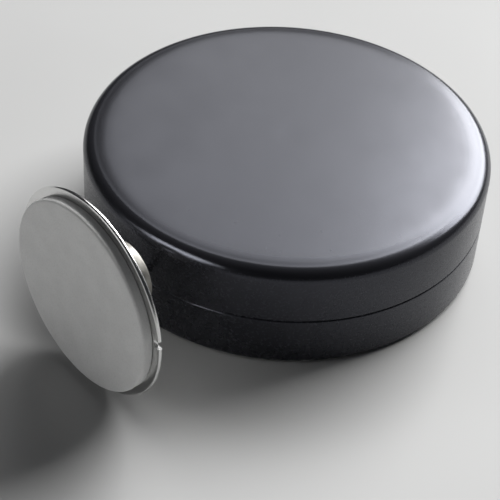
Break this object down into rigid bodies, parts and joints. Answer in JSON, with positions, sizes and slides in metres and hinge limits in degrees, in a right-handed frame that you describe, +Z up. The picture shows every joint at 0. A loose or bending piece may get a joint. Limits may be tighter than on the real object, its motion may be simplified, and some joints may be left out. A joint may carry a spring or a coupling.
{
  "type": "retractable security tether",
  "caption": "Round sprung reel housing whose thin cable ends in a swivelling metal plate with an adhesive foam pad, for tethering goods on display.",
  "frame": {"origin": "centre of the underside of the housing's pad", "axes": "+Z up, out of the housing's top; -Y the way the cable comes out; +X to the right of someone who looks from the end plate to the housing"},
  "size_m": [0.05, 0.0627, 0.0249],
  "materials": {
    "black_shell": "fine moulded satin gloss, near black with a cool cast",
    "black_plastic": "smooth moulded",
    "natural_nylon": "unpigmented, smooth moulded",
    "coated_cable": "smooth extruded nylon over stranded steel",
    "turned_steel": "satin, fine turning marks",
    "bright_steel": "polished",
    "screw_steel": "zinc plated",
    "spring_steel": "blued strip",
    "brass": "turned",
    "white_foam": "matt, fine closed-cell foam tape"
  },
  "bodies": {
    "housing": {"upper_shell": "black_shell", "lower_shell": "black_shell", "shell_screw_1": "screw_steel", "shell_screw_2": "screw_steel", "shell_screw_3": "screw_steel", "base_pad": "white_foam", "outlet_bush": "black_plastic", "centre_axle": "brass", "lower_thrust_washer": "natural_nylon", "upper_thrust_washer": "natural_nylon", "power_spring": "spring_steel", "cable_lead": "coated_cable"},
    "reel": {"cable_reel": "natural_nylon", "spring_cover": "natural_nylon", "cable_winding": "coated_cable", "reel_crimp": "brass"},
    "tether": {"cable_stop": "turned_steel", "cable_tail": "coated_cable", "end_crimp": "brass"},
    "ball": {"swivel_ball": "bright_steel"},
    "hub": {"end_hub": "turned_steel", "spigot_washer": "turned_steel"},
    "plate": {"end_plate": "bright_steel", "plate_pad": "white_foam"}
  },
  "joints": [
    {"name": "tether_pull", "type": "slide", "parent": "housing", "child": "tether", "axis": [0, -1, 0], "range_m": [0, 0.8], "stiffness_N_per_m": 1.25, "springref_m": -0.8},
    {"name": "reel_spin", "type": "hinge", "parent": "housing", "child": "reel", "pos_m": [0, 0, 0.0068], "axis": [0, 0, 1], "range_deg": [-3150, 0], "deforming": ["cable_winding", "power_spring"]},
    {"name": "ball_roll", "type": "hinge", "parent": "tether", "child": "ball", "pos_m": [0.00277, -0.03131, 0.01238], "axis": [0.3356, -0.6563, 0.6757], "range_deg": [-35, 35]},
    {"name": "plate_tilt", "type": "hinge", "parent": "ball", "child": "hub", "pos_m": [0.00277, -0.03131, 0.01238], "axis": [-0.9947, 0.1028, 0], "range_deg": [0, 70]},
    {"name": "plate_swivel", "type": "hinge", "parent": "hub", "child": "plate", "pos_m": [0.00277, -0.03131, 0.01238], "axis": [-0.1028, -0.9944, 0.0262], "continuous": true}
  ],
  "couplings": [
    {"joint": "reel_spin", "follows": "tether_pull", "rad_per_m": -68.55}
  ]
}
